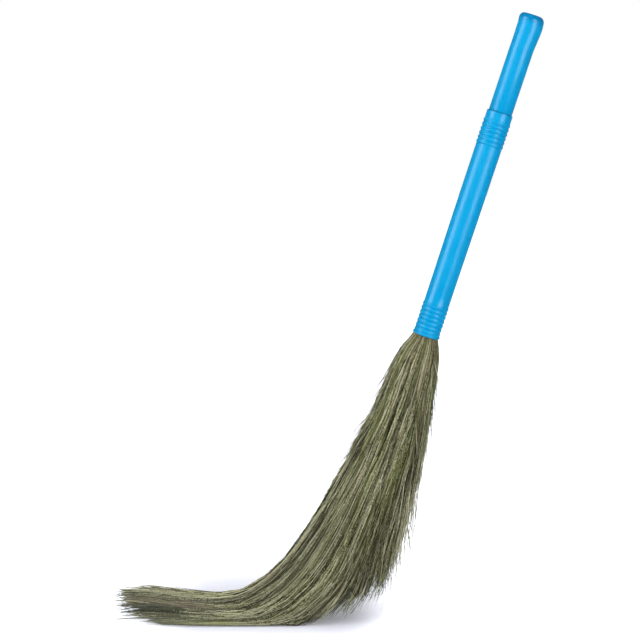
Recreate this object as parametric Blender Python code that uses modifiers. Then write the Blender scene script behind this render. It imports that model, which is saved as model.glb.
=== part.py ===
import math
import random

import bmesh
import bpy
import numpy as np
from mathutils import Matrix, Vector

# The whole broom, in metres. It stands as photographed: head bent on the floor, handle leaning to +X
handle_lean = math.radians(17.74)
handle_length = 0.4647          # sleeve's lower rim to the grip's flat end
mouth_height = 0.4105           # middle of that rim above the floor
tail_reach = 0.4383             # from below that rim to the longest tips, towards -X
head_depth = 0.088              # the fanned head along Y

# Clearances
seat_gap = 0.0003               # between pieces that touch
overrun = 0.01                  # how far a cutter runs past what it cuts
weld_distance = 0.000002        # points nearer than this are one

# Grip tube
grip_radius = 0.0161
grip_wall = 0.0018
knob_radius = 0.0176            # the flared end
knob_flat_radius = 0.009
knob_round = 0.016              # how far down the end's rounding reaches
flare_length = 0.0305           # from the knob's fattest ring down to the plain tube
socket_depth = 0.06             # how far the grip goes into the sleeve
lead_in = 0.0008                # chamfer of the grip's hidden lower end

# Sleeve
sleeve_length = 0.3232
sleeve_radius = 0.01775
sleeve_neck_radius = 0.01685    # under the lower ribs
sleeve_wall = 0.0016
taper_low = 0.0733              # the taper's two ends, above the lower rim
taper_high = 0.1722
rim_round = 0.0009
stop_width = 0.002              # ledge that the grip stands on
stop_height = 0.0025
mouth_flare = 0.0005

# Ribs round the sleeve
rib_pitch = 0.0062
rib_height = 0.00055
rib_width = 0.0036
upper_rib_count = 6
upper_rib_start = 0.0145        # first upper rib, below the top rim
lower_rib_count = 7
lower_rib_start = 0.0424        # highest lower rib, above the lower rim
bead_height = 0.003
bead_depth = 0.0009

# Grass butts inside the sleeve
butt_length = 0.15
butt_recess = 0.0005            # the butts' lower faces, above the lower rim
butt_land = 0.03                # stretch that is as wide as the sleeve's bore
butt_slope = 0.015              # then it narrows over this length
waist_depth = 0.0016            # to this much less in radius, under the wires
tie_neck_length = 0.018         # slimmer top of each butt, for its tie
tie_width = 0.005
tie_thickness = 0.0009
tie_from_top = 0.01             # tie's middle below the butts' top

# Binding wire
wire_radius = 0.0005
wire_turns = 2.5
wire_turn_gap = 0.0005
wire_heights = {"binding_wire_low": 0.062, "binding_wire_mid": 0.088, "binding_wire_top": 0.114}

# Wedge
wedge_length = 0.05
wedge_proud = 0.004
wedge_width = 0.0048
wedge_tip_width = 0.0018

# Grass strands
sector_count = 7                # hanks round the core one
ring_count = 9                  # rings of strands in the bundle
core_rings = 3                  # of them, those of the core hank
root_depth = 0.0015             # how far a strand is sunk in its butt
root_inset = 0.00075            # outermost strand's middle, inside the butt's edge
lying_height = 0.0007           # middle of the lowest lying strands above the floor
floor_cut = 0.0005              # depth of the flats that the head stands on
strand_radii = (0.0005, 0.0012, 0.0017, 0.0015)   # at the root and the first three stations
landing_radius = 0.0012
thickness_spread_share = 0.12
jitter_share = 0.1              # of the spacing between strands
crown_share = 0.92              # how fully the lying tail's top is rounded towards its sides
grass_seed = 11

# Stations down the head: the inner edge's reach and height, the outer edge's, and the depth.
# Reach is a share of tail_reach, height of mouth_height, depth of head_depth
station_shares = (
    (0.222, 0.630, 0.010, 0.568, 0.72),
    (0.421, 0.246, 0.126, 0.115, 1.00),
    (0.565, 0.116, 0.285, -0.088, 1.00),
    (1.000, 0.092, None, None, 0.96),
)
feather_share = 0.45            # outer strands beyond this share may end above the floor
feather_chance_share = 0.4
shortest_outer_share = 0.45     # of the run between the first and second stations
full_tail_chance_share = 0.35
shortest_tail_share = 0.6       # of the run between the last two stations

# Facets
turn_steps = 32
knob_arc_steps = 5
flare_steps = 4
outer_arc_steps = 4
inner_arc_steps = 3
core_steps = 18
wire_steps = 16                 # points round one turn

azure = (0.02, 0.36, 0.80, 1)
straw = (0.14, 0.13, 0.07, 1)
thread = (0.72, 0.68, 0.55, 1)
steel = (0.45, 0.45, 0.46, 1)
wood = (0.50, 0.33, 0.17, 1)


for old in list(bpy.data.objects):
    bpy.data.objects.remove(old)
broom = bpy.data.collections.new("grass_broom")
cutters = bpy.data.collections.new("cutters")
bpy.context.scene.collection.children.link(broom)
bpy.context.scene.collection.children.link(cutters)
cutters.hide_render = True


def material(name, colour, roughness, metallic=0):
    made = bpy.data.materials.new(name)
    made.use_nodes = True
    shader = made.node_tree.nodes["Principled BSDF"]
    shader.inputs["Base Color"].default_value = colour
    shader.inputs["Roughness"].default_value = roughness
    shader.inputs["Metallic"].default_value = metallic
    return made


def add(name, data, collection=broom, look=None, place=None):
    obj = bpy.data.objects.new(name, data)
    collection.objects.link(obj)
    if look:
        data.materials.append(look)
    if place:
        obj.matrix_world = place
    if collection is cutters:
        obj.hide_render = True
        obj.display_type = "WIRE"
    return obj


def boolean(obj, operation, other):
    change = obj.modifiers.new(operation.lower(), "BOOLEAN")
    change.operation = operation
    change.solver = "EXACT"
    change.object = other


def turned(name, profile, closed):
    """A solid of revolution: profile is (radius, height) points, down the outside and up the inside."""
    data = bpy.data.meshes.new(name)
    count = len(profile)
    edges = [(i, (i + 1) % count) for i in range(count if closed else count - 1)]
    data.from_pydata([(radius, 0, height) for radius, height in profile], edges, [])
    obj = add(name, data, place=handle_frame)
    screw = obj.modifiers.new("turn", "SCREW")
    screw.axis = "Z"
    screw.steps = turn_steps
    screw.render_steps = turn_steps
    screw.use_merge_vertices = True
    screw.merge_threshold = weld_distance
    screw.use_smooth_shade = True
    return obj


def loft(name, sections, collection=broom, look=None):
    """A closed solid through outlines of equal point count, each given as (points, height), upwards."""
    data = bpy.data.meshes.new(name)
    form = bmesh.new()
    rings = []
    for points, height in sections:
        rings.append([form.verts.new((x, y, height)) for x, y in points])
    for low, high in zip(rings, rings[1:]):
        for i in range(len(low)):
            following = (i + 1) % len(low)
            form.faces.new((low[i], low[following], high[following], high[i]))
    form.faces.new(reversed(rings[0]))
    form.faces.new(rings[-1])
    form.to_mesh(data)
    form.free()
    return add(name, data, collection, look, handle_frame)


def circle_outline(radius, steps):
    turn = [2 * math.pi * i / steps for i in range(steps)]
    return [(radius * math.cos(angle), radius * math.sin(angle)) for angle in turn]


def hank_outline(hank, outer, inset):
    """One hank's outline in the bundle, drawn in by inset. Hank 0 is the round core, the rest sectors."""
    if not hank:
        return circle_outline(core_edge - inset, core_steps)
    middle = (hank - 1) * sector_angle
    points = []
    for radius, steps, way in (
        (outer - inset, outer_arc_steps, 1),
        (core_edge + inset, inner_arc_steps, -1),
    ):
        half = sector_angle / 2 - math.asin(inset / radius)
        for i in range(steps + 1):
            angle = middle + way * half * (2 * i / steps - 1)
            points.append((radius * math.cos(angle), radius * math.sin(angle)))
    return points


def numbered(name, hank):
    return f"{name}_{hank}" if hank else f"{name}_core"


# Heights and radii along the handle, from the lower rim up
stop_top = sleeve_length - socket_depth
grip_foot = stop_top + seat_gap
socket_radius = grip_radius + seat_gap
neck_bore = sleeve_neck_radius - sleeve_wall
body_bore = sleeve_radius - sleeve_wall
half_gap = seat_gap / 2
butt_edge = neck_bore - half_gap        # outlines are drawn in from here
bundle_radius = butt_edge - root_inset
butt_foot = butt_recess
butt_top = butt_recess + butt_length
waist_edge = butt_edge - waist_depth
neck_foot = butt_top - tie_neck_length
sector_angle = 2 * math.pi / sector_count
core_edge = bundle_radius * (core_rings + 0.5) / ring_count

azure_plastic = material("azure_plastic", azure, 0.35)
dry_grass = material("dry_grass", straw, 0.8)
tie_thread = material("tie_thread", thread, 0.8)
binding_wire = material("binding_wire", steel, 0.4, 1)
wedge_wood = material("wedge_wood", wood, 0.7)


def grip_outside():
    """Outer profile of the grip tube, from the flat end's middle down to its foot."""
    points = [(0, handle_length)]
    for i in range(knob_arc_steps + 1):
        angle = math.pi / 2 * i / knob_arc_steps
        radius = knob_flat_radius + (knob_radius - knob_flat_radius) * math.sin(angle)
        points.append((radius, handle_length - knob_round * (1 - math.cos(angle))))
    for i in range(1, flare_steps + 1):
        ease = (1 + math.cos(math.pi * i / flare_steps)) / 2
        radius = grip_radius + (knob_radius - grip_radius) * ease
        points.append((radius, handle_length - knob_round - flare_length * i / flare_steps))
    points.append((grip_radius, grip_foot + lead_in))
    points.append((grip_radius - lead_in, grip_foot))
    return points


grip_profile = grip_outside()
grip_span = max(
    height * math.sin(handle_lean) + radius * math.cos(handle_lean) for radius, height in grip_profile
)
mouth_x = (tail_reach - grip_span) / 2      # stands the whole broom centred on the origin
handle_frame = Matrix.Translation((mouth_x, 0, mouth_height)) @ Matrix.Rotation(handle_lean, 4, "Y")


def build_grip():
    bore = grip_radius - grip_wall
    inside = [
        (bore, grip_foot),
        (bore, handle_length - knob_round - flare_length),
        (knob_radius - grip_wall, handle_length - knob_round),
        (knob_flat_radius, handle_length - grip_wall),
        (0, handle_length - grip_wall),
    ]
    grip = turned("grip_tube", grip_profile + inside, closed=False)
    grip.data.materials.append(azure_plastic)


def rib(radius, height):
    return [
        (radius, height + rib_width / 2),
        (radius + rib_height, height),
        (radius, height - rib_width / 2),
    ]


def build_sleeve():
    points = [
        (sleeve_radius - rim_round, sleeve_length),
        (sleeve_radius, sleeve_length - rim_round),
    ]
    for i in range(upper_rib_count):
        points += rib(sleeve_radius, sleeve_length - upper_rib_start - i * rib_pitch)
    points += [(sleeve_radius, taper_high), (sleeve_neck_radius, taper_low)]
    for i in range(lower_rib_count):
        points += rib(sleeve_neck_radius, lower_rib_start - i * rib_pitch)
    points += [
        (sleeve_neck_radius, bead_height),
        (sleeve_neck_radius + bead_depth, bead_height * 2 / 3),
        (sleeve_neck_radius + bead_depth, bead_height / 3),
        (sleeve_neck_radius, 0),
        (neck_bore + mouth_flare, 0),
        (neck_bore, bead_height),
        (neck_bore, taper_low),
        (body_bore, taper_high),
        (body_bore, stop_top - stop_height),
        (body_bore - stop_width, stop_top - stop_height),
        (body_bore - stop_width, stop_top),
        (socket_radius, stop_top),
        (socket_radius, sleeve_length),
    ]
    sleeve = turned("sleeve", points, closed=True)
    sleeve.data.materials.append(azure_plastic)


def strand_places():
    """Where the strands stand in the bundle, as (hank, u, v). The hank is 0 for the core."""
    places = [(0, 0, 0)]
    for ring in range(1, ring_count + 1):
        for sector in range(sector_count):
            hank = 0 if ring <= core_rings else sector + 1
            for i in range(ring):
                angle = (sector - 0.5 + (i + 0.5) / ring) * sector_angle
                share = ring / ring_count
                places.append((hank, share * math.cos(angle), share * math.sin(angle)))
    return places


def edge_point(reach_share, height_share):
    return Vector((mouth_x - reach_share * tail_reach, 0, height_share * mouth_height))


def station_point(station, u, v):
    """Where a strand crosses a station. u runs from the inner edge at -1 to the outer one at 1."""
    reach, height, outer_reach, outer_height, depth_share = station_shares[station]
    across = Vector((0, v * depth_share * head_depth / 2, 0))
    inner = edge_point(reach, height)
    if outer_reach is not None:
        outer = edge_point(outer_reach, outer_height)
        return inner.lerp(outer, (u + 1) / 2) + across
    crown = math.sqrt(1 - (crown_share * v) ** 2)
    share = (landing_u - u) / (landing_u + crown)
    lift = (inner.z - lying_height) * crown * share
    return Vector((inner.x, 0, lying_height + lift)) + across


def landing_share():
    """The strand place whose strand meets the floor just at the third station."""
    inner = edge_point(*station_shares[2][:2])
    outer = edge_point(*station_shares[2][2:4])
    return 2 * (inner.z - lying_height) / (inner.z - outer.z) - 1


landing_u = landing_share()


def strand_route(u, v, dice):
    """The strand's points, with a radius at each: lying along the tail, or ending at the floor."""
    thickness = 1 - thickness_spread_share * dice.random()
    root = handle_frame @ Vector((u * bundle_radius, v * bundle_radius, butt_foot + root_depth))
    u += jitter_share / ring_count * dice.uniform(-1, 1)
    v += jitter_share / ring_count * dice.uniform(-1, 1)
    points = [root] + [station_point(station, u, v) for station in (0, 1, 2)]
    radii = [radius * thickness for radius in strand_radii]
    if u < landing_u:
        full = dice.random() < full_tail_chance_share
        run = 1 if full else dice.uniform(shortest_tail_share, 1)
        return points + [points[-1].lerp(station_point(3, u, v), run)], radii + [0]
    end_radius = landing_radius * thickness
    if u > feather_share and dice.random() < feather_chance_share:
        run = dice.uniform(shortest_outer_share, 1)
        return points[:2] + [points[1].lerp(points[2], run)], radii[:2] + [0]
    before, after = points[2], points[3]
    depth = -(end_radius + floor_cut)
    run = (before.z - depth) / (before.z - after.z)
    return points[:3] + [before.lerp(after, run)], radii[:3] + [end_radius]


def triangle_section():
    data = bpy.data.curves.new("strand_section", "CURVE")
    line = data.splines.new("POLY")
    line.points.add(2)
    for i, (x, y) in enumerate(circle_outline(1, 3)):
        line.points[i].co = (x, y, 0, 1)
    line.use_cyclic_u = True
    return add("strand_section", data, cutters)


def swept(name, routes, section=None, thickness=0):
    """A mesh of tubes along the routes, with a section curve or a round one of the given radius."""
    data = bpy.data.curves.new(name, "CURVE")
    data.dimensions = "3D"
    data.use_fill_caps = True
    if section:
        data.bevel_mode = "OBJECT"
        data.bevel_object = section
    else:
        data.bevel_depth = thickness
        data.bevel_resolution = 0
    for points, radii in routes:
        line = data.splines.new("POLY")
        line.points.add(len(points) - 1)
        for spot, point, radius in zip(line.points, points, radii):
            spot.co = (*point, 1)
            spot.radius = radius
    curve = add(name, data, cutters)
    bpy.context.view_layer.update()
    graph = bpy.context.evaluated_depsgraph_get()
    mesh = bpy.data.meshes.new_from_object(curve.evaluated_get(graph))
    bpy.data.objects.remove(curve)
    form = bmesh.new()
    form.from_mesh(mesh)
    bmesh.ops.remove_doubles(form, verts=form.verts, dist=weld_distance)
    bmesh.ops.recalc_face_normals(form, faces=form.faces)
    form.to_mesh(mesh)
    form.free()
    return mesh


def butt_sections(hank):
    """One hank's butt: full width at the mouth, a waist for the wires, a slim neck for the tie."""
    neck_inset = half_gap + tie_thickness + seat_gap
    sections = [(hank_outline(hank, butt_edge, half_gap), butt_foot)]
    if hank:
        land_top = butt_foot + butt_land
        sections.append((hank_outline(hank, butt_edge, half_gap), land_top))
        sections.append((hank_outline(hank, waist_edge, half_gap), land_top + butt_slope))
    sections.append((hank_outline(hank, waist_edge, half_gap), neck_foot))
    sections.append((hank_outline(hank, waist_edge, neck_inset), neck_foot))
    sections.append((hank_outline(hank, waist_edge, neck_inset), butt_top))
    return sections


def build_hanks():
    dice = random.Random(grass_seed)
    routes = {hank: [] for hank in range(sector_count + 1)}
    for hank, u, v in strand_places():
        routes[hank].append(strand_route(u, v, dice))
    section = triangle_section()
    floor = add("floor_cutter", bpy.data.meshes.new("floor_cutter"), cutters)
    form = bmesh.new()
    bmesh.ops.create_cube(form, size=2 * (tail_reach + overrun))
    form.to_mesh(floor.data)
    form.free()
    floor.location = (0, 0, -(tail_reach + overrun))
    for hank, lines in routes.items():
        name = numbered("hank", hank)
        strands = add(f"{name}_strands", swept(f"{name}_strands", lines, section), cutters)
        butt = loft(name, butt_sections(hank), look=dry_grass)
        boolean(butt, "UNION", strands)
        boolean(butt, "DIFFERENCE", floor)
        if not hank:
            boolean(butt, "DIFFERENCE", wedge("wedge_pocket", seat_gap, overrun, cutters))
    return routes


def wedge(name, growth, rise, collection, look=None):
    """The square stake, or the pocket for it, grown by a clearance on every side."""
    foot = butt_top + wedge_proud - wedge_length
    sections = []
    for height, width in (
        (foot - growth, wedge_tip_width),
        (butt_top + wedge_proud + rise, wedge_width),
    ):
        reach = width / 2 + growth
        sections.append(([(-reach, -reach), (reach, -reach), (reach, reach), (-reach, reach)], height))
    return loft(name, sections, collection, look)


def build_ties():
    low = butt_top - tie_from_top - tie_width / 2
    high = low + tie_width
    for hank in range(sector_count + 1):
        name = numbered("tie", hank)
        outside = hank_outline(hank, waist_edge, half_gap)
        inside = hank_outline(hank, waist_edge, half_gap + tie_thickness)
        tie = loft(name, [(outside, low), (outside, high)], look=tie_thread)
        hole = [(inside, low - overrun), (inside, high + overrun)]
        boolean(tie, "DIFFERENCE", loft(f"{name}_hole", hole, cutters))


def build_wires():
    """Each wire is one unbroken helix round the hanks' waist."""
    facet = math.cos(math.pi / wire_steps)
    reach = (waist_edge + half_gap + wire_radius) / facet
    pitch = 2 * wire_radius + wire_turn_gap
    count = round(wire_turns * wire_steps) + 1
    for name, height in wire_heights.items():
        points = []
        for i in range(count):
            angle = 2 * math.pi * i / wire_steps
            rise = pitch * (i / wire_steps - wire_turns / 2)
            points.append(Vector((reach * math.cos(angle), reach * math.sin(angle), height + rise)))
        mesh = swept(name, [(points, [1] * count)], thickness=wire_radius)
        mesh.name = name
        add(name, mesh, look=binding_wire, place=handle_frame)
    spots = np.array(points)
    gaps = [
        np.linalg.norm(spots[i] - spots[j]) - 2 * wire_radius
        for i in range(count)
        for j in range(i + wire_steps // 2, count)
    ]
    print("wire's least gap to itself, mm:", round(1000 * min(gaps), 2))


build_grip()
build_sleeve()
hank_routes = build_hanks()
build_ties()
build_wires()
wedge("wedge", 0, 0, broom, wedge_wood)
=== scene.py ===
import math

import bmesh
import bpy
from mathutils import Matrix, Vector


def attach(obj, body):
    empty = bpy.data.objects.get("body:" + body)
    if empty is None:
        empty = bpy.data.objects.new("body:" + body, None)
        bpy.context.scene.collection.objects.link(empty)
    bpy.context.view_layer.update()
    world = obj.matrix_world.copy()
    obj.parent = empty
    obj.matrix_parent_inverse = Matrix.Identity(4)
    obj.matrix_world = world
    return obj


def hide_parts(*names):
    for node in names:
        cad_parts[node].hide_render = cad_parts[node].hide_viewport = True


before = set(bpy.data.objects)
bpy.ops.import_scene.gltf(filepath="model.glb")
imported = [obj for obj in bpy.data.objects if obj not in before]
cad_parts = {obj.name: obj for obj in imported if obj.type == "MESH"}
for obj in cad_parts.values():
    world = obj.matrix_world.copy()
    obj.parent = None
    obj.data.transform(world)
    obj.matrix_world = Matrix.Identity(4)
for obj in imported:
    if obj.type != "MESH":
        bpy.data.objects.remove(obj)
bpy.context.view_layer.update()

print("frame loaded:", len(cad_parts), "CAD nodes")

handle = {
    "mouth": (0.14176, 0, 0.4105),  # middle of the sleeve's lower rim
    "lean": 17.74,  # degrees towards +X
}
handlePlace = Matrix.Translation(handle["mouth"]) @ Matrix.Rotation(math.radians(handle["lean"]), 4, "Y")


# Small helpers for pieces and node trees

def addPiece(name, data, material=None):
    piece = bpy.data.objects.new(name, data)
    bpy.context.scene.collection.objects.link(piece)
    if material:
        data.materials.clear()
        data.materials.append(material)
    return piece


def evaluatedMesh(blank):
    # A plain mesh of what the object's modifier makes; the object itself goes
    bpy.context.view_layer.update()
    mesh = bpy.data.meshes.new_from_object(blank.evaluated_get(bpy.context.evaluated_depsgraph_get()))
    bpy.data.objects.remove(blank)
    return mesh


def socketOf(sockets, key):
    if isinstance(key, int):
        return sockets[key]
    return next(socket for socket in sockets if socket.name == key and socket.enabled)


def put(tree, kind, inputs=None, **settings):
    node = tree.nodes.new(kind)
    for key, value in settings.items():
        setattr(node, key, value)
    for key, value in (inputs or {}).items():
        socket = socketOf(node.inputs, key)
        if isinstance(value, bpy.types.NodeSocket):
            tree.links.new(value, socket)
        else:
            socket.default_value = value
    return node


def result(node, key=None):
    if key is None:
        return next(socket for socket in node.outputs if socket.enabled)
    return socketOf(node.outputs, key)


def made(kind, inputs, key=None, **settings):
    # What a node gives, in the tree of the sockets that feed it
    tree = next(value.id_data for value in inputs.values() if isinstance(value, bpy.types.NodeSocket))
    return result(put(tree, kind, inputs, **settings), key)


def calc(operation, *values):
    return made("ShaderNodeMath", dict(enumerate(values)), operation=operation)


def plus(value, *others):
    for other in others:
        value = calc("ADD", value, other)
    return value


def minus(a, b):
    return calc("SUBTRACT", a, b)


def times(value, *others):
    for other in others:
        value = calc("MULTIPLY", value, other)
    return value


def combine(operation, a, b):
    key = "Scale" if operation == "SCALE" else 1
    return made("ShaderNodeVectorMath", {0: a, key: b}, operation=operation)


def mapped(value, fromMin, fromMax, toMin, toMax, kind="LINEAR"):
    places = {"Value": value, "From Min": fromMin, "From Max": fromMax, "To Min": toMin, "To Max": toMax}
    return made("ShaderNodeMapRange", places, interpolation_type=kind)


def blended(factor, a, b):
    return made("ShaderNodeMix", {"Factor": factor, "A": a, "B": b}, data_type="FLOAT")


def blendedPlace(factor, a, b):
    return made("ShaderNodeMix", {0: factor, 4: a, 5: b}, "Result", data_type="VECTOR")


def packed(x, y, z):
    return made("ShaderNodeCombineXYZ", {0: x, 1: y, 2: z})


def unpacked(vector):
    return list(put(vector.id_data, "ShaderNodeSeparateXYZ", {0: vector}).outputs)


def lengthOf(vector):
    return made("ShaderNodeVectorMath", {0: vector}, "Value", operation="LENGTH")


def noise(vector, scale, detail, key=None):
    return made("ShaderNodeTexNoise", {"Vector": vector, "Scale": scale, "Detail": detail}, key)


def newMaterial(name, looks):
    material = bpy.data.materials.new(name)
    material.use_nodes = True
    shader = material.node_tree.nodes["Principled BSDF"]
    shader.inputs["Base Color"].default_value = material.diffuse_color = (*looks["colour"], 1)
    for key, socket in (("roughness", "Roughness"), ("gloss", "Specular IOR Level"), ("metal", "Metallic")):
        if key in looks:
            shader.inputs[socket].default_value = looks[key]
    return material, material.node_tree, shader


def ramp(factor, stops):
    node = put(factor.id_data, "ShaderNodeValToRGB", {"Fac": factor})
    band = node.color_ramp.elements
    while len(band) < len(stops):
        band.new(0.5)
    for element, (place, colour) in zip(band, stops):
        element.position = place
        element.color = (*colour, 1)
    return result(node, "Color")


def tinted(factor, a, b):
    a, b = (value if isinstance(value, bpy.types.NodeSocket) else (*value, 1) for value in (a, b))
    return put(factor.id_data, "ShaderNodeMix", {0: factor, 6: a, 7: b}, data_type="RGBA").outputs[2]


def bumped(shader, height, strength, distance):
    bump = made("ShaderNodeBump", {"Height": height, "Strength": strength, "Distance": distance})
    height.id_data.links.new(bump, shader.inputs["Normal"])


def alongHandle(tree):
    # Object coordinates turned so that Z runs up the handle from the sleeve's mouth
    shifted = combine("SUBTRACT", put(tree, "ShaderNodeTexCoord").outputs["Object"], handle["mouth"])
    turn = (0, -math.radians(handle["lean"]), 0)
    return made("ShaderNodeMapping", {"Vector": shifted, "Rotation": turn})


# A range in a dictionary below is what mapped takes: from and to, the values there, and the easing
eased = "SMOOTHSTEP"


# Handle: the grip tube and the ribbed sleeve, turned

gripTube = {
    "radius": 0.0165,
    "wall": 0.0018,
    "knobRadius": 0.0176,
    "knobAside": 0.0014,  # the knob flares towards the broom's back
    "asideLead": 0.014,  # and starts to, this far below the flare
    "asideBack": 1.1,  # share of it that the end's rounding takes back
    "flatRadius": 0.0110,
    "endRound": 0.0078,  # how far down the end's rounding reaches
    "knobStraight": 0.0075,  # the knob's fattest ring
    "flare": 0.034,  # from there down to the plain tube
    "foot": 0.2635,  # lower end, above the sleeve's mouth
    "top": 0.4634,
    "leadIn": 0.0008,
    "roundSteps": 14,
    "innerSteps": 10,
    "steps": 112,
}

sleeve = {
    "length": 0.3244,
    "radius": 0.01825,
    "neckRadius": 0.0179,
    "wall": 0.0016,
    "taper": (0.0733, 0.1722),
    "rimRound": 0.0009,
    "rimSteps": 5,
    "rimGap": 0.0008,  # from the rim's rounding down to the first ring below it
    "rimInset": 0.0002,  # the socket's edge is this far below the rim
    "socketRadius": 0.0168,
    "socketFoot": 0.2632,
    "socketChamfer": (0.0006, 0.0022),  # width and height
    "stopWidth": 0.002,
    "stopHeight": 0.0025,
    "mouthFlare": 0.0005,
    "mouthFlareTop": 0.003,
    "mouthChamfer": (0.0003, 0.0006),
    "mouthDrop": 0.0010,  # how far the rolled rim hangs below the mouth's plane
    "ribPitch": 0.0062,
    "ribHeight": 0.0009,
    "ribWidth": 0.0044,
    "ribCrown": 0.8,  # under one makes a rib's back rounder
    "upperRibs": 6,
    "upperStart": 0.3100,  # highest of the upper ribs, above the mouth
    "lowerRibs": 7,
    "lowerStart": 0.0424,
    "beadHeight": 0.0026,
    "beadDepth": 0.0017,
    "beadRound": 0.00108,
    "beadAngle": 75,  # the bead's rounding ends at this angle above and below
    "beadSteps": 10,
    "beadNeck": 0.0004,  # from the bead up to the plain neck
    "beadGap": 0.0012,  # and to the lowest ring of the ribs
    "fineStep": 0.00045,  # between rings where there are ribs
    "wideStep": 0.012,  # and where there are none
    "steps": 112,
}

sameSpot = 0.000002  # points nearer than this are one


def turned(name, profile, steps, closed):
    # Profile points are (radius, height) up the handle; the Screw modifier turns them
    data = bpy.data.meshes.new(name)
    count = len(profile)
    edges = [(i, (i + 1) % count) for i in range(count if closed else count - 1)]
    data.from_pydata([(radius, 0, height) for radius, height in profile], edges, [])
    blank = addPiece(name + "Blank", data)
    screw = blank.modifiers.new("turn", "SCREW")
    screw.axis = "Z"
    screw.steps = screw.render_steps = steps
    screw.use_merge_vertices = True
    screw.merge_threshold = sameSpot
    screw.use_smooth_shade = True
    mesh = evaluatedMesh(blank)
    mesh.name = name
    form = bmesh.new()
    form.from_mesh(mesh)
    bmesh.ops.remove_doubles(form, verts=form.verts, dist=sameSpot)
    bmesh.ops.recalc_face_normals(form, faces=form.faces)
    form.to_mesh(mesh)
    form.free()
    mesh.transform(handlePlace)
    return mesh


def arc(centre, radii, start, stop, count):
    points = []
    for i in range(count + 1):
        angle = math.radians(start + (stop - start) * i / count)
        points.append((centre[0] + radii[0] * math.cos(angle), centre[1] + radii[1] * math.sin(angle)))
    return points


def ease(t):
    return t * t * (3 - 2 * t)


def shareBetween(value, low, high):
    return min(max((value - low) / (high - low), 0), 1)


def gripProfile():
    g = gripTube
    top, shoulder, flat = g["top"], g["top"] - g["endRound"], g["flatRadius"]
    flareTop = shoulder - g["knobStraight"]
    inner = g["radius"] - g["wall"]
    outside = [(0, top)]
    outside += arc((flat, shoulder), (g["knobRadius"] - flat, g["endRound"]), 90, 0, g["roundSteps"])
    for i in range(g["roundSteps"] + 1):  # the flare eases into the plain tube
        t = i / g["roundSteps"]
        radius = g["knobRadius"] + (g["radius"] - g["knobRadius"]) * ease(t)
        outside.append((radius, flareTop - g["flare"] * t))
    outside += [(g["radius"], g["foot"] + g["leadIn"]), (g["radius"] - g["leadIn"], g["foot"])]
    inside = [(inner, g["foot"]), (inner, flareTop - g["flare"])]
    middle = (flat - g["wall"], shoulder - g["wall"])
    inside += arc(middle, (inner - flat + g["wall"], g["endRound"]), 0, 90, g["innerSteps"])
    return outside + inside + [(0, top - g["wall"])]


def sleeveOutside(height):
    # Radius of the sleeve's outside at a height above its mouth
    s = sleeve
    radius = s["neckRadius"] + (s["radius"] - s["neckRadius"]) * shareBetween(height, *s["taper"])
    middles = [s["upperStart"] - i * s["ribPitch"] for i in range(s["upperRibs"])]
    middles += [s["lowerStart"] - i * s["ribPitch"] for i in range(s["lowerRibs"])]
    for middle in middles:
        away = abs(height - middle) / (s["ribWidth"] / 2)
        if away < 1:
            radius += s["ribHeight"] * math.cos(away * math.pi / 2) ** s["ribCrown"]
    return radius


def sleeveProfile():
    s = sleeve
    length, rim, bore = s["length"], s["rimRound"], s["neckRadius"] - s["wall"]
    outside = arc((s["radius"] - rim, length - rim), (rim, rim), 90, 0, s["rimSteps"])
    height = length - rim - s["rimGap"]
    while height > s["beadHeight"] + s["beadGap"]:
        outside.append((sleeveOutside(height), height))
        ribbed = height > s["upperStart"] - s["upperRibs"] * s["ribPitch"]
        ribbed = ribbed or height < s["lowerStart"] + s["ribPitch"]
        height -= s["fineStep"] if ribbed else s["wideStep"]
    lip, drop, bead = s["neckRadius"] + s["beadDepth"], s["mouthDrop"], s["beadRound"]
    outside += [(s["neckRadius"], s["beadHeight"] + s["beadNeck"])]
    outside += arc((lip - bead, (s["beadHeight"] - drop) / 2), (bead, (s["beadHeight"] + drop) / 2),
                   s["beadAngle"], -s["beadAngle"], s["beadSteps"])
    width, rise = s["mouthChamfer"]
    flare = bore + s["mouthFlare"]
    inside = [(flare + width, -drop), (flare, rise - drop), (bore, s["mouthFlareTop"])]
    body, stop = s["radius"] - s["wall"], s["socketRadius"] - s["stopWidth"]
    stopFoot = s["socketFoot"] - s["stopHeight"] - s["stopWidth"]
    inside += [(bore, s["taper"][0]), (body, s["taper"][1]), (body, stopFoot)]
    inside += [(stop, stopFoot + s["stopWidth"]), (stop, s["socketFoot"])]
    socket, (width, rise) = s["socketRadius"], s["socketChamfer"]
    inside += [(socket, s["socketFoot"]), (socket, length - rise), (socket + width, length - s["rimInset"])]
    return outside + inside


def knobMoved(mesh):
    g = gripTube
    high = g["top"] - g["endRound"] - g["knobStraight"]
    low = high - g["flare"] - g["asideLead"]
    upright = handlePlace.inverted()
    for corner in mesh.vertices:
        place = upright @ corner.co
        back = shareBetween(place.z, high, g["top"])
        place.x += g["knobAside"] * (ease(shareBetween(place.z, low, high)) - g["asideBack"] * back)
        corner.co = handlePlace @ place
    return mesh


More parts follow.
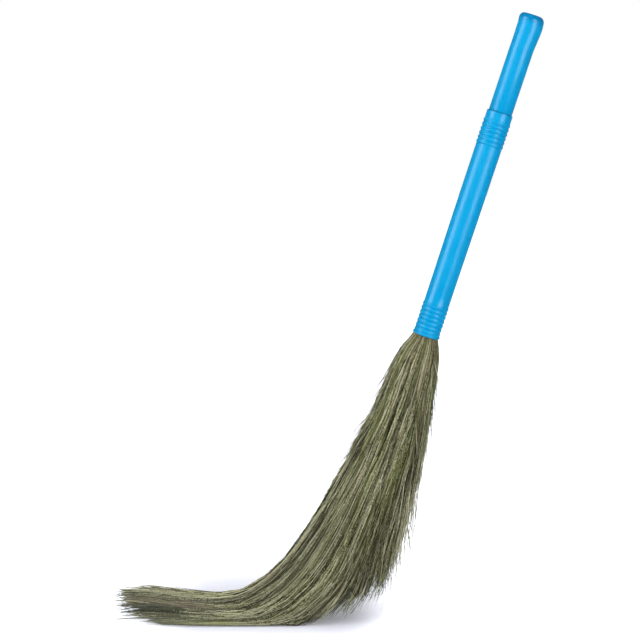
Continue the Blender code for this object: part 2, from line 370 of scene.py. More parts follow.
azurePlastic = {
    "colour": (0.001, 0.412, 0.805),
    "pale": (0.002, 0.455, 0.84),
    "cloudScale": 22,
    "paleClouds": (0.35, 0.7, 0, 0.7),
    "roughness": 0.28,
    "roughClouds": (0.3, 0.7, 0.23, 0.35),
    "gloss": 0.05,
    "grain": (900, 900, 26),  # fine lines drawn out along the handle
    "grainBump": (0.12, 0.0002),  # strength and depth
    "paintedShade": (0.001, 0.20, 0.46),  # painted shade between the ribs, in the joint and on the grip's end
    # the first rib of a zone, then its foot and its top above the sleeve's mouth
    "shadedRibZones": [("upperStart", 0.2762, 0.3132), ("lowerStart", 0.0014, 0.0458)],
    "ribGrooveShade": (0.0017, 0.0030, 0, 0.3),  # painted shade in the grooves, by how far it is from a rib's middle
    "joint": (0.3230, 0.3252),
    "jointShade": 0.75,
    "crown": (0.4470, 0.4630, 0, 0.85, eased),  # painted shade darkens the grip's end between these heights
    "endFace": (0.0088, 0.01375, 0.25, 1),  # but little on its flat face, by the radius
}


def makeAzurePlastic():
    looks = azurePlastic
    material, tree, shader = newMaterial("azurePlastic", looks)
    place = alongHandle(tree)
    height = unpacked(place)[2]
    cloud = noise(place, looks["cloudScale"], 3)
    colour = tinted(mapped(cloud, *looks["paleClouds"]), looks["colour"], looks["pale"])
    # painted shade in the grooves between the ribs
    for first, foot, top in looks["shadedRibZones"]:
        between = calc("PINGPONG", minus(height, sleeve[first]), sleeve["ribPitch"] / 2)
        inside = times(calc("GREATER_THAN", height, foot), calc("LESS_THAN", height, top))
        paintedShade = times(mapped(between, *looks["ribGrooveShade"]), inside)
        colour = tinted(paintedShade, colour, looks["paintedShade"])
    # painted shade in the joint where the grip enters the sleeve
    low, high = looks["joint"]
    away = calc("ABSOLUTE", minus(height, (low + high) / 2))
    paintedShade = mapped(away, (high - low) / 4, (high - low) / 2, looks["jointShade"], 0)
    colour = tinted(paintedShade, colour, looks["paintedShade"])
    # painted shade on the grip's end, little of it on its flat face
    radius = lengthOf(combine("MULTIPLY", place, (1, 1, 0)))
    paintedEndShade = times(mapped(height, *looks["crown"]), mapped(radius, *looks["endFace"]))
    colour = tinted(paintedEndShade, colour, looks["paintedShade"])
    tree.links.new(colour, shader.inputs["Base Color"])
    tree.links.new(mapped(cloud, *looks["roughClouds"]), shader.inputs["Roughness"])
    grain = noise(combine("MULTIPLY", place, looks["grain"]), 1, 2)
    bumped(shader, grain, *looks["grainBump"])
    return material


azure = makeAzurePlastic()
gripMesh = knobMoved(turned("gripTube", gripProfile(), gripTube["steps"], False))
gripPiece = addPiece("gripTube", gripMesh, azure)
sleevePiece = addPiece("sleeveShell", turned("sleeveShell", sleeveProfile(), sleeve["steps"], True), azure)
print("handle turned:", len(gripPiece.data.polygons), "and", len(sleevePiece.data.polygons), "faces")


# Grass: how the bundle leaves the sleeve, bends on the floor and lies along it

grassFlow = {
    # Distance along the inner edge from the sleeve's mouth, then the inner edge's x and height,
    # the outer edge's x and height, and half the depth, all in millimetres
    "stations": [
        (0.0, 128.0, 414.9, 155.5, 406.1, 14.4),
        (20.6, 112.4, 400.4, 160.0, 385.0, 19.5),
        (50.6, 95.8, 375.6, 157.9, 356.0, 24.0),
        (87.8, 82.4, 340.3, 151.8, 323.0, 26.5),
        (135.0, 63.0, 297.0, 145.7, 286.0, 29.5),
        (183.0, 42.0, 254.0, 136.0, 238.0, 32.0),
        (232.0, 20.0, 210.0, 124.4, 195.0, 35.0),
        (282.0, -2.7, 165.6, 113.4, 152.0, 38.5),
        (323.0, -24.0, 129.6, 101.8, 113.0, 41.5),
        (366.0, -47.8, 93.8, 87.5, 66.0, 43.5),
        (390.5, -64.6, 74.8, 72.0, 33.0, 44.0),
        (419.0, -87.0, 55.2, 41.0, 0.0, 44.0),
        (440.0, -105.6, 42.4, 12.0, -24.0, 44.0),
        (460.0, -124.8, 34.6, -20.0, -34.0, 44.0),
        (499.0, -164.0, 29.6, -82.0, -31.5, 43.5),
        (545.0, -210.0, 33.2, -167.0, -33.8, 43.0),
        (590.0, -255.0, 38.6, -242.0, -34.5, 42.5),
        (628.0, -293.0, 36.0, -292.0, -31.0, 42.0),
        (662.0, -327.0, 28.0, -325.0, -26.0, 41.0),
    ],
    "butt": [(150, 12.3), (46, 12.6), (31, 14.2)],  # height up inside the sleeve, the bundle's radius there
    "rows": 200,
}

hanks = {
    "sectors": 7,
    "coreShare": 0.389,  # of the bundle's radius
    "gapShare": 0.012,
    "middleShare": 0.7,
    "outlineSteps": 24,
    "mostPoints": 40000,  # on a patch of one by one, where the spacing allows it
    "leastRadius": 0.01,  # before strands are moved outward
    "seed": 11,
    "hankSeed": 1000,  # added for each hank
    "kindSeed": 100,  # and for each kind of strand
    "quickSpacing": 1.5,
}

strandKinds = ("stems", "blades", "feathers", "wisps")
strandSizes = {
    # for each kind in turn: spacing in shares of the bundle's radius, lengths in metres along the flow
    "Spacing": (0.125, 0.017, 0.0135, 0.031),
    "Start": (-0.149, -0.006, 0.0, 0.01),
    "Start Scatter": (0.0, 0.03, 1.0, 1.0),
    "Tail End": (0.600, 0.644, 0.652, 0.648),
    "Floor End": (0.42, 0.440, 0.448, 0.44),
    "End Scatter": (0.22, 0.085, 0.04, 0.02),
    "Length Least": (2.0, 2.0, 0.07, 0.04),
    "Length Most": (2.0, 2.0, 0.22, 0.11),
    "Girth": (0.0015, 0.00112, 0.0010, 0.00065),
    "Tip": (0.25, 0.3, 0.3, 0.3),
    "Stray": (0.0, 0.005, 0.002, 0.018),
    "Cross": (0.0, 0.0115, 0.009, 0.0),
    "Strand Points": (26, 17, 7, 7),
    "Outward": (1.0, 0.7, 0.45, 0.1),
}
perHank = ("Spacing", "Girth")  # what a hank's own modifier sets for each kind

# Ranges across the bundle run from -1 at its inner edge to 1 at its outer one, those along the flow
# are in metres, and the values are in metres or shares

strandEnds = {
    "floorShare": (0.06, 0.25, 0, 1, eased),  # across: strands that end at the floor, not in the tail
    "lowerBunch": (-0.50, -0.28, 0, 1, eased),  # across: the tail's lower bunch
    "lowerShort": -0.058,  # ends sooner than the upper one
    "farMore": [(-0.2, 0.1, 0, 0.022), (-0.95, -0.6, -0.009, 0.004)],  # across
    "sideShort": 0.018,  # the tail's two sides end sooner
    "sidePower": 3,
    "tufts": [(4.2, 0.022), (13.0, 0.032)],  # a lock's strands end near each other: scale, spread
    "lowerTufts": 0.4,  # share of that spread in the lower bunch
    "outerShort": (0.2, 1.0, 0, 0.055),  # across
    "scatterPower": (0.1, 0.6, 1.6, 0.7),  # across: under one leaves more short strands
    "scatterMore": (0.2, 0.8, 1.0, 1.6),  # across
    "leastRoom": 0.02,
}

strandLocks = {
    "narrower": [(0, 0.08, 1, 0.972), (0.60, 0.66, 1, 0.96, eased)],  # along: the bundle draws together
    "partAt": -0.50,  # across: the tail parts here into two bunches
    "partWidth": (0, 0.42, 0.125, 0),  # by how far a strand is from there
    "partSides": (0.1, 0.55, 0, 1),  # and by how near it is to the tail's sides
    "partFrom": (0.47, 0.58, 0, 1, eased),  # along
    "hangAcross": (0.2, 0.5, 0, 1),  # across: where locks hang free
    # how strongly strands draw to the middle of a lock, along the flow
    "kinds": [
        {"scale": 4.2, "pull": (0.01, 0.35, 0, 0.11, eased), "tail": (0.53, 0.63, 0, 0.10, eased),
         "hanging": (0.33, 0.41, 0, 0.25, eased), "bend": (0.2, 0.42, 0, 0)},
        {"scale": 13.0, "pull": (0.01, 0.20, 0, 0.30, eased), "tail": (0.53, 0.63, 0, 0.088, eased),
         "hanging": (0.33, 0.41, 0, 0.22, eased), "bend": (0.2, 0.42, 0, 0.33, eased)},
    ],
    "rootSqueeze": (-0.138, -0.128, 0.2, 0),  # along: the butts' upper ends are slimmer, for the ties
    "fanWidth": (0.2, 1.0, 0, 0.034, eased),  # across: the hanging side fans out
    "fanFrom": (0.33, 0.42, 0, 1),  # along
    "fanPower": 2.0,
}

strandWander = {
    "outside": (0.0, 0.12, 0, 1, eased),  # along: nothing wanders inside the sleeve
    "loosened": (0.3, 0.6, 1, 1.9),  # along
    "noises": [(2.2, 5.0, 0.006), (40.0, 15.0, 0.005)],  # scale across, scale along, width
    "strayPower": 1.4,
    "strayTail": (0.56, 0.66, 1, 2.4),  # along
    "strayMost": (0.5, 0.6, 0.018, 0.010),  # along
    "crossAt": 0.4,  # share of its length where a strand crosses its neighbours
    "crossTail": (0.3, 0.6, 1, 1.3),  # along
    "clear": (0.45, 0.95, 0, 0.011, eased),  # across: strands that stand clear of the outer edge
    "clearFrom": (0.2, 0.33, 0, 1, eased),  # along
    "clearPower": 4.0,
    "free": (0.55, 0.95, -0.0012, 0.018, eased),  # across: and a few whose tips hang free
    "freePowers": (2.0, 9.0),  # of the share of its length, and of its chance
    "upward": [(0.36, 0.46, 1, 0.3), (0.58, 0.66, 0, 0.4)],  # along
    "sideways": 0.4,
    "floorLayer": (0.003, 0.0013),  # spread and least height of strands on the floor
    "floorEase": 0.006,
}

strandForm = {
    "girth": (2.5, 1.5, 0.6),  # power, spread and least of a strand's own girth
    "thinFrom": (0.2, 0.6, 0.75, 0.45),  # across: the share of its length where it starts to thin
    "thicker": (0.38, 0.5, 1, 1.3),  # along: round the bend
    "thinner": (0.585, 0.65, 1, 0.6),  # along: at the tail's end
    "sides": 3,
    "lowerFlow": (0.25, 0.5, 0, 1),  # along: between the next three pairs
    "lockSpread": (0.25, 0.6),  # how much a lock's own tone counts
    "lockLevel": (-0.04, -0.06),
    "ownSpread": (1.05, 0.9),  # how much a strand's own chance counts
    "lockEdge": (0.25, 0.65, 0, 0.42),  # painted shade, darker between locks
    "gap": (0.05, 0.15, 0.75, 0),  # and painted shade in the gap where the tail parts
    "gapShadeSides": (0.35, 0.8, 1, 0.35),
}

dryGrass = {
    "colour": (0.24, 0.237, 0.118),  # only for the viewport; a strand's own comes from its tone
    "tones": [  # dark to light, by each strand's own tone
        (0.0, (0.010, 0.010, 0.004)),
        (0.3, (0.055, 0.056, 0.024)),
        (0.55, (0.24, 0.237, 0.118)),
        (0.8, (0.56, 0.55, 0.31)),
        (1.0, (0.88, 0.86, 0.58)),
    ],
    "grey": (0.34, 0.34, 0.25),
    "green": (0.27, 0.32, 0.10),
    "brown": (0.36, 0.30, 0.20),
    "stems": (0.20, 0.165, 0.075),  # browner stems where they leave the sleeve, with painted shade under its rim
    "stemsUntil": (0.0, 0.05, 0.4, 0.0),
    "tips": (0.56, 0.60, 0.46),  # the feathery far end is paler
    "tipsFrom": (0.40, 0.58, 0, 1),  # along
    "tipsMost": 0.16,
    "tipsLight": 0.085,
    "streaks": (26, 26, 9),
    "streakLight": (0.25, 0.75, -0.22, 0.22),
    "speckles": 480,
    "speckleLight": (0.3, 0.7, -0.25, 0.25),
    "speckleTips": 1.8,
    "contrast": (0.2, 0.42, 1.32, 2.0),  # along
    "level": (0.1, 0.3, 0.48, 0.442),  # along
    "rootLight": (0.05, 0.28, 0.04, 0),  # along
    "acrossShade": (-0.75, 0.75, 0.06, -0.07),  # painted shade: lighter along the inner edge, darker along the outer one
    "edgeShade": (0.55, 0.9, 0, -0.20),  # and painted shade, darker again at that edge
    "acrossUntil": (0.48, 0.58, 1, 0),  # along
    "bands": (5, 5, 4),
    "patchScale": (3.2, 3.2, 6),
    "patchShift": (7, 3, 5),
    # colour, what decides on it and how much of it there is
    "tints": [
        ("grey", "band", (0.5, 0.75, 0, 0.4)),
        ("green", "band", (0.47, 0.25, 0, 0.65)),
        ("brown", "strand", (0.8, 1.0, 0, 0.5)),
        ("brown", "patch", (0.54, 0.68, 0, 0.42)),
        ("green", "strand", (0.25, 0.0, 0, 0.6)),
    ],
    # middle across the bundle, half width, middle along the flow, half length, colour, most
    "patches": [
        (-0.76, 0.15, 0.585, 0.09, (0.36, 0.27, 0.21), 0.5),
        (-0.10, 0.16, 0.520, 0.05, (0.52, 0.52, 0.16), 0.5),
        (-0.05, 0.40, 0.580, 0.09, (0.27, 0.32, 0.20), 0.35),
    ],
    "patchCore": 0.4,  # share of a patch that has all of its colour
    "roughness": 0.7,
    "gloss": 0.03,
}


def makeDryGrass():
    looks = dryGrass
    material, tree, shader = newMaterial("dryGrass", looks)
    tone = put(tree, "ShaderNodeAttribute", attribute_name="tone").outputs["Fac"]
    flow = put(tree, "ShaderNodeAttribute", attribute_name="flow").outputs["Vector"]
    u, _, along = unpacked(flow)
    tips = mapped(along, *looks["tipsFrom"])

    streak = noise(combine("MULTIPLY", flow, looks["streaks"]), 1, 3)
    speckle = noise(put(tree, "ShaderNodeTexCoord").outputs["Object"], looks["speckles"], 2)
    speckle = times(mapped(speckle, *looks["speckleLight"]), mapped(tips, 0, 1, 1, looks["speckleTips"]))
    shade = plus(tone, mapped(streak, *looks["streakLight"]), speckle)
    shade = calc("MULTIPLY_ADD", minus(shade, 0.5), mapped(along, *looks["contrast"]),
                 mapped(along, *looks["level"]))
    shade = calc("MULTIPLY_ADD", tips, looks["tipsLight"], shade)
    shade = plus(shade, mapped(along, *looks["rootLight"]))
    # painted shade across the bundle, darkest along its outer edge
    across = plus(mapped(u, *looks["acrossShade"]), mapped(u, *looks["edgeShade"]))
    shade = calc("MULTIPLY_ADD", across, mapped(along, *looks["acrossUntil"]), shade)
    colour = ramp(shade, looks["tones"])

    strand = combine("MULTIPLY", flow, (1, 1, 0))  # the same all along a strand
    patches = combine("ADD", combine("MULTIPLY", flow, looks["patchScale"]), looks["patchShift"])
    deciding = {
        "band": noise(combine("MULTIPLY", flow, looks["bands"]), 1, 1),
        "strand": made("ShaderNodeTexWhiteNoise", {"Vector": strand}, "Value", noise_dimensions="2D"),
        "patch": noise(patches, 1, 2),
    }
    for hue, name, amount in looks["tints"]:
        colour = tinted(mapped(deciding[name], *amount), colour, looks[hue])
    for middle, halfWidth, reach, halfReach, hue, most in looks["patches"]:
        near = calc("ABSOLUTE", minus(u, middle))
        level = calc("ABSOLUTE", minus(along, reach))
        amount = times(mapped(near, halfWidth * looks["patchCore"], halfWidth, most, 0),
                       mapped(level, halfReach * looks["patchCore"], halfReach, 1, 0, eased))
        colour = tinted(amount, colour, hue)
    # browner stems near the sleeve, with painted shade under its rim
    colour = tinted(mapped(along, *looks["stemsUntil"]), colour, looks["stems"])
    colour = tinted(times(tips, looks["tipsMost"]), colour, looks["tips"])
    tree.links.new(colour, shader.inputs["Base Color"])
    return material


def flowRows():
    rows = []
    for height, radius in grassFlow["butt"]:
        inner = handlePlace @ Vector((-radius / 1000, 0, height / 1000))
        outer = handlePlace @ Vector((radius / 1000, 0, height / 1000))
        rows.append((-height / 1000, inner.x, inner.z, outer.x, outer.z, radius / 1000))
    return rows + [tuple(value / 1000 for value in row) for row in grassFlow["stations"]]


def smoothBetween(rows, at):
    # Cubic through the rows, each column by itself
    index = max([i for i in range(len(rows) - 1) if rows[i][0] <= at] or [0])
    before, low, high, after = (rows[min(max(index + i, 0), len(rows) - 1)] for i in (-1, 0, 1, 2))
    span = high[0] - low[0]
    t = (at - low[0]) / span
    values = []
    for k in range(1, len(low)):
        slopeLow = (high[k] - before[k]) / (high[0] - before[0])
        slopeHigh = (after[k] - low[k]) / (after[0] - low[0])
        value = (2 * t ** 3 - 3 * t ** 2 + 1) * low[k] + (3 * t ** 2 - 2 * t ** 3) * high[k]
        values.append(value + span * ((t ** 3 - 2 * t ** 2 + t) * slopeLow + (t ** 3 - t ** 2) * slopeHigh))
    return values


def makeFlowGuide():
    rows = flowRows()
    first, last, count = rows[0][0], rows[-1][0], grassFlow["rows"]
    samples = [smoothBetween(rows, first + (last - first) * i / (count - 1)) for i in range(count)]
    mesh = bpy.data.meshes.new("grassFlowGuide")
    mesh.from_pydata([(x, 0, z) for x, z, *_ in samples], [(i, i + 1) for i in range(count - 1)], [])
    outer = mesh.attributes.new("outerEdge", "FLOAT_VECTOR", "POINT")
    for mark, (_, _, x, z, _) in zip(outer.data, samples):
        mark.vector = (x, 0, z)
    depth = mesh.attributes.new("halfDepth", "FLOAT", "POINT")
    for mark, (*_, half) in zip(depth.data, samples):
        mark.value = half
    return addPiece("grassFlowGuide", mesh), first, last


def hankPatch(hank):
    # The hank's part of the bundle's round section, drawn with a radius of one
    gap, core, steps = hanks["gapShare"], hanks["coreShare"], hanks["outlineSteps"]

    def around(angles, radius):
        return [Vector((math.cos(angle), math.sin(angle), 0)) * radius for angle in angles]

    if hank == 0:
        outline = around([2 * math.pi * i / steps for i in range(steps)], core - gap)
        middle = Vector((0, 0, 0))
    else:
        half = math.pi / hanks["sectors"]
        turn = 2 * half * (hank - 1)
        angles = [turn + half * (2 * i / steps - 1) for i in range(steps + 1)]
        outline = around(angles, 1) + around(reversed(angles), core + gap)
        middle = around([turn], hanks["middleShare"])[0]
    mesh = bpy.data.meshes.new("hankPatch")
    mesh.from_pydata(outline, [], [tuple(range(len(outline)))])
    return mesh, middle


def marked(tree, name, kind="FLOAT"):
    return result(put(tree, "GeometryNodeInputNamedAttribute", {"Name": name}, data_type=kind), "Attribute")


def stored(geometry, name, kind, value):
    given = {"Geometry": geometry, "Name": name, "Value": value}
    return made("GeometryNodeStoreNamedAttribute", given, data_type=kind, domain="POINT")


def drawn(low, high, seed, shift, kind="FLOAT"):
    values = {"Min": low, "Max": high, "Seed": plus(seed, shift)}
    return made("FunctionNodeRandomValue", values, data_type=kind)


def cellsOf(place, scale):
    inputs = {"Vector": place, "Scale": scale}
    return put(place.id_data, "ShaderNodeTexVoronoi", inputs, voronoi_dimensions="2D")


def sampled(guide, value, index, part, kind):
    picks = []
    for shift in (0, 1):
        places = {"Geometry": guide, "Value": value, "Index": plus(index, shift)}
        picks.append(made("GeometryNodeSampleIndex", places, data_type=kind, clamp=True))
    return (blended if kind == "FLOAT" else blendedPlace)(part, *picks)


def startAndReach(given, place):
    # Where each strand starts along the flow and how long it is
    ends, seed = strandEnds, given["Seed"]
    u, v, _ = unpacked(place)
    lower = mapped(u, *ends["lowerBunch"])
    far = calc("MULTIPLY_ADD", lower, ends["lowerShort"], given["Tail End"])
    for more in ends["farMore"]:
        far = plus(far, mapped(u, *more))
    far = minus(far, times(calc("POWER", calc("ABSOLUTE", v), ends["sidePower"]), ends["sideShort"]))
    for scale, spread in ends["tufts"]:
        tuft = unpacked(result(cellsOf(place, scale), "Color"))[1]
        spread = blended(lower, spread, spread * ends["lowerTufts"])
        far = minus(far, times(tuft, spread))
    limit = blended(mapped(u, *ends["floorShare"]), far, given["Floor End"])
    limit = minus(limit, mapped(u, *ends["outerShort"]))
    scatter = calc("POWER", drawn(0, 1, seed, 1), mapped(u, *ends["scatterPower"]))
    limit = minus(limit, times(scatter, mapped(u, *ends["scatterMore"]), given["End Scatter"]))
    room = minus(minus(limit, given["Start"]), given["Length Least"])
    room = calc("MAXIMUM", room, ends["leastRoom"])
    start = times(drawn(0, 1, seed, 2), given["Start Scatter"])
    start = calc("MULTIPLY_ADD", start, room, given["Start"])
    length = blended(drawn(0, 1, seed, 3), given["Length Least"], given["Length Most"])
    end = calc("MINIMUM", limit, plus(start, length))
    return start, minus(end, start)


def scatteredLines(tree, given):
    # A straight line for each strand, which keeps its place in the bundle and what was drawn for it
    seed = given["Seed"]
    scatter = {"Mesh": given["Patch"], "Distance Min": given["Spacing"], "Density Max": hanks["mostPoints"],
               "Seed": seed}
    points = made("GeometryNodeDistributePointsOnFaces", scatter, "Points", distribute_method="POISSON")
    place = result(put(tree, "GeometryNodeInputPosition"))
    # Outward under one moves strands towards the bundle's skin, where they show
    radius = lengthOf(place)
    stretch = calc("POWER", calc("MAXIMUM", radius, hanks["leastRadius"]), minus(given["Outward"], 1.0))
    stretch = blended(calc("GREATER_THAN", radius, hanks["coreShare"]), 1.0, stretch)
    place = combine("SCALE", place, stretch)
    start, reach = startAndReach(given, place)
    power, spread, least = strandForm["girth"]
    girth = calc("MULTIPLY_ADD", calc("POWER", drawn(0, 1, seed, 4), power), spread, least)
    marks = {
        "place": ("FLOAT_VECTOR", place),
        "start": ("FLOAT", start),
        "reach": ("FLOAT", reach),
        "girth": ("FLOAT", girth),
        "luck": ("FLOAT_VECTOR", drawn((-1, -1, -1), (1, 1, 1), seed, 5, "FLOAT_VECTOR")),
        "chance": ("FLOAT", drawn(0, 1, seed, 6)),
    }
    for name, (kind, value) in marks.items():
        points = stored(points, name, kind, value)
    line = result(put(tree, "GeometryNodeCurvePrimitiveLine"))
    line = made("GeometryNodeResampleCurve", {"Curve": line, "Count": given["Strand Points"]})
    lines = made("GeometryNodeInstanceOnPoints", {"Points": points, "Instance": line})
    return made("GeometryNodeRealizeInstances", {"Geometry": lines}), list(marks)


def locked(tree, given, along):
    # Each strand's place in the bundle after it draws into its lock, and what the looks need
    locks = strandLocks
    spot = marked(tree, "place", "FLOAT_VECTOR")
    for narrower in locks["narrower"]:
        spot = combine("SCALE", spot, mapped(along, *narrower))
    u, v, _ = unpacked(spot)
    above = minus(u, locks["partAt"])
    near, side = calc("ABSOLUTE", above), calc("ABSOLUTE", v)
    parted = mapped(along, *locks["partFrom"])
    apart = times(mapped(near, *locks["partWidth"]), calc("SIGN", above),
                  mapped(side, *locks["partSides"]), parted)
    spot = combine("ADD", spot, packed(apart, 0, 0))
    for kind in locks["kinds"]:
        cells = cellsOf(spot, kind["scale"])
        hanging = times(mapped(along, *kind["hanging"]), mapped(u, *locks["hangAcross"]))
        pull = plus(mapped(along, *kind["pull"]), mapped(along, *kind["tail"]), hanging,
                    mapped(along, *kind["bend"]))
        spot = blendedPlace(pull, spot, result(cells, "Position"))
    spot = blendedPlace(mapped(along, *locks["rootSqueeze"]), spot, given["Hank Middle"])
    # painted shade in the gap where the tail parts
    gap = times(mapped(near, *strandForm["gap"]), parted, mapped(side, *strandForm["gapShadeSides"]))
    lockTone = unpacked(result(cells, "Color"))[0]
    return spot, u, gap, lockTone, result(cells, "Distance")


def onFlow(tree, given, spot, along, first, last):
    # The point on the flow: between the inner and the outer edge, out to the side
    index = mapped(along, first, last, 0, grassFlow["rows"] - 1.001)  # stays under the last row
    whole, part = calc("FLOOR", index), calc("FRACT", index)
    guide = given["Flow"]
    inner = sampled(guide, result(put(tree, "GeometryNodeInputPosition")), whole, part, "FLOAT_VECTOR")
    outer = sampled(guide, marked(tree, "outerEdge", "FLOAT_VECTOR"), whole, part, "FLOAT_VECTOR")
    depth = sampled(guide, marked(tree, "halfDepth"), whole, part, "FLOAT")
    u, v, _ = unpacked(spot)
    middle = blendedPlace(calc("MULTIPLY_ADD", u, 0.5, 0.5), inner, outer)
    beyond = calc("POWER", mapped(along, *strandLocks["fanFrom"]), strandLocks["fanPower"])
    outward = times(mapped(u, *strandLocks["fanWidth"]), beyond)
    return combine("ADD", middle, packed(outward, times(v, depth), 0))


def wandered(tree, given, point, spot, u, along, share):
    # Each lock and each strand wanders a little, and the tips stray
    wander, chance = strandWander, marked(tree, "chance")
    outside = mapped(along, *wander["outside"])
    loosened = times(outside, mapped(along, *wander["loosened"]))
    for grain, pace, width in wander["noises"]:
        mixed = combine("ADD", combine("SCALE", spot, grain), packed(0, 0, times(along, pace)))
        offset = combine("SUBTRACT", noise(mixed, 1, 1, "Color"), (0.5, 0.5, 0.5))
        point = combine("ADD", point, combine("SCALE", offset, times(loosened, width)))
    stray = calc("POWER", share, wander["strayPower"])
    stray = times(stray, given["Stray"], mapped(along, *wander["strayTail"]))
    stray = calc("MINIMUM", stray, mapped(along, *wander["strayMost"]))
    crossing = times(outside, mapped(along, *wander["crossTail"]))
    stray = plus(stray, times(minus(share, wander["crossAt"]), given["Cross"], crossing))

    # Along the outer edge some of them hang clear of the rest
    clear = times(mapped(u, *wander["clear"]), mapped(along, *wander["clearFrom"]),
                  calc("POWER", chance, wander["clearPower"]))
    lengthPower, chancePower = wander["freePowers"]
    free = times(calc("POWER", share, lengthPower), calc("POWER", chance, chancePower))
    clear = calc("MULTIPLY_ADD", mapped(u, *wander["free"]), free, clear)
    point = combine("ADD", point, packed(clear, 0, 0))
    upward = plus(*(mapped(along, *part) for part in wander["upward"]))
    luck = marked(tree, "luck", "FLOAT_VECTOR")
    luck = combine("MULTIPLY", luck, packed(1, wander["sideways"], upward))
    point = combine("ADD", point, combine("SCALE", luck, stray))

    # Nothing goes through the floor: strands that meet it turn and lie along it
    x, y, z = unpacked(point)
    spread, least = wander["floorLayer"]
    layer = calc("MULTIPLY_ADD", chance, spread, least)
    return packed(x, y, calc("SMOOTH_MAX", z, layer, wander["floorEase"]))


def toneOf(tree, along, gap, lockTone, lockEdge):
    form = strandForm
    lower = mapped(along, *form["lowerFlow"])
    spread, level, own = (blended(lower, *form[name]) for name in ("lockSpread", "lockLevel", "ownSpread"))
    # painted shade between the locks
    lockTone = minus(calc("MULTIPLY_ADD", lockTone, spread, level), mapped(lockEdge, *form["lockEdge"]))
    return minus(calc("MULTIPLY_ADD", marked(tree, "chance"), own, lockTone), gap)


def radiusOf(tree, given, u, along, share):
    form = strandForm
    thinFrom = mapped(u, *form["thinFrom"])
    taper = calc("DIVIDE", minus(share, thinFrom), minus(1, thinFrom))
    taper = blended(calc("MAXIMUM", taper, 0), 1.0, given["Tip"])
    radius = times(marked(tree, "girth"), times(given["Girth"], 0.5))
    return times(radius, taper, mapped(along, *form["thicker"]), mapped(along, *form["thinner"]))


def newTree(name, inputs, output):
    tree = bpy.data.node_groups.new(name, "GeometryNodeTree")
    for key, kind in inputs.items():
        tree.interface.new_socket(key, in_out="INPUT", socket_type="NodeSocket" + kind)
    tree.interface.new_socket(output, in_out="OUTPUT", socket_type="NodeSocketGeometry")
    return tree, tree.nodes.new("NodeGroupInput").outputs


def makeStrandField(first, last):
    # One kind of strand: scattered over a hank's patch, then laid along the flow
    inputs = {"Patch": "Geometry", "Flow": "Geometry", "Hank Middle": "Vector", "Seed": "Int"}
    for name in strandSizes:
        inputs[name] = "Int" if name == "Strand Points" else "Float"
    tree, given = newTree("strandField", inputs, "Strands")

    strands, marks = scatteredLines(tree, given)
    share = result(put(tree, "GeometryNodeSplineParameter"), "Factor")
    along = calc("MULTIPLY_ADD", marked(tree, "reach"), share, marked(tree, "start"))
    spot, u, gap, lockTone, lockEdge = locked(tree, given, along)
    point = onFlow(tree, given, spot, along, first, last)
    point = wandered(tree, given, point, spot, u, along, share)
    strands = made("GeometryNodeSetPosition", {"Geometry": strands, "Position": point})

    place = combine("MULTIPLY", marked(tree, "place", "FLOAT_VECTOR"), (1, 1, 0))
    flow = combine("ADD", place, packed(0, 0, along))
    strands = stored(strands, "tone", "FLOAT", toneOf(tree, along, gap, lockTone, lockEdge))
    strands = stored(strands, "flow", "FLOAT_VECTOR", flow)
    section = {"Resolution": strandForm["sides"], "Radius": 1}
    section = result(put(tree, "GeometryNodeCurvePrimitiveCircle", section))
    swept = {"Curve": strands, "Profile Curve": section, "Fill Caps": True,
             "Scale": radiusOf(tree, given, u, along, share)}
    mesh = made("GeometryNodeCurveToMesh", swept)
    tree.links.new(mesh, tree.nodes.new("NodeGroupOutput").inputs["Strands"])
    return tree, marks


def makeHankTree(field):
    inputs = {"Patch": "Geometry", "Flow Guide": "Object", "Hank Middle": "Vector", "Seed": "Int",
              "Material": "Material"}
    for kind in strandKinds:
        for size in perHank:
            inputs[f"{kind.title()} {size}"] = "Float"
    tree, given = newTree("grassHank", inputs, "Hank")
    guide = made("GeometryNodeObjectInfo", {"Object": given["Flow Guide"]}, "Geometry")
    joined = tree.nodes.new("GeometryNodeJoinGeometry")
    for number, kind in enumerate(strandKinds):
        inputs = {name: values[number] for name, values in strandSizes.items()}
        for size in perHank:
            inputs[size] = given[f"{kind.title()} {size}"]
        inputs.update({"Patch": given["Patch"], "Flow": guide, "Hank Middle": given["Hank Middle"],
                       "Seed": plus(given["Seed"], hanks["kindSeed"] * number)})
        strands = result(put(tree, "GeometryNodeGroup", inputs, node_tree=field))
        tree.links.new(strands, joined.inputs[0])
    mesh = made("GeometryNodeRealizeInstances", {"Geometry": result(joined)})
    mesh = made("GeometryNodeSetMaterial", {"Geometry": mesh, "Material": given["Material"]})
    tree.links.new(mesh, tree.nodes.new("NodeGroupOutput").inputs["Hank"])
    return tree


def growHank(hank, tree, guide, spareMarks):
    patch, middle = hankPatch(hank)
    name = "grassHank" + (str(hank) if hank else "Core")
    seedling = addPiece(name, patch)
    modifier = seedling.modifiers.new("grass", "NODES")
    modifier.node_group = tree
    seed = hanks["seed"] + hanks["hankSeed"] * hank
    values = {"Flow Guide": guide, "Hank Middle": tuple(middle), "Seed": seed, "Material": grass}
    for number, kind in enumerate(strandKinds):
        for size in perHank:
            values[f"{kind.title()} {size}"] = strandSizes[size][number]
    for item in tree.interface.items_tree:
        if item.in_out == "INPUT" and item.name in values:
            modifier[item.identifier] = values[item.name]
    mesh = evaluatedMesh(seedling)
    for spare in spareMarks:
        if spare in mesh.attributes:
            mesh.attributes.remove(mesh.attributes[spare])
    for face in mesh.polygons:
        face.use_smooth = True
    mesh.name = name
    mesh.polygons.foreach_set("material_index", [0] * len(mesh.polygons))
    return addPiece(name, mesh, grass)


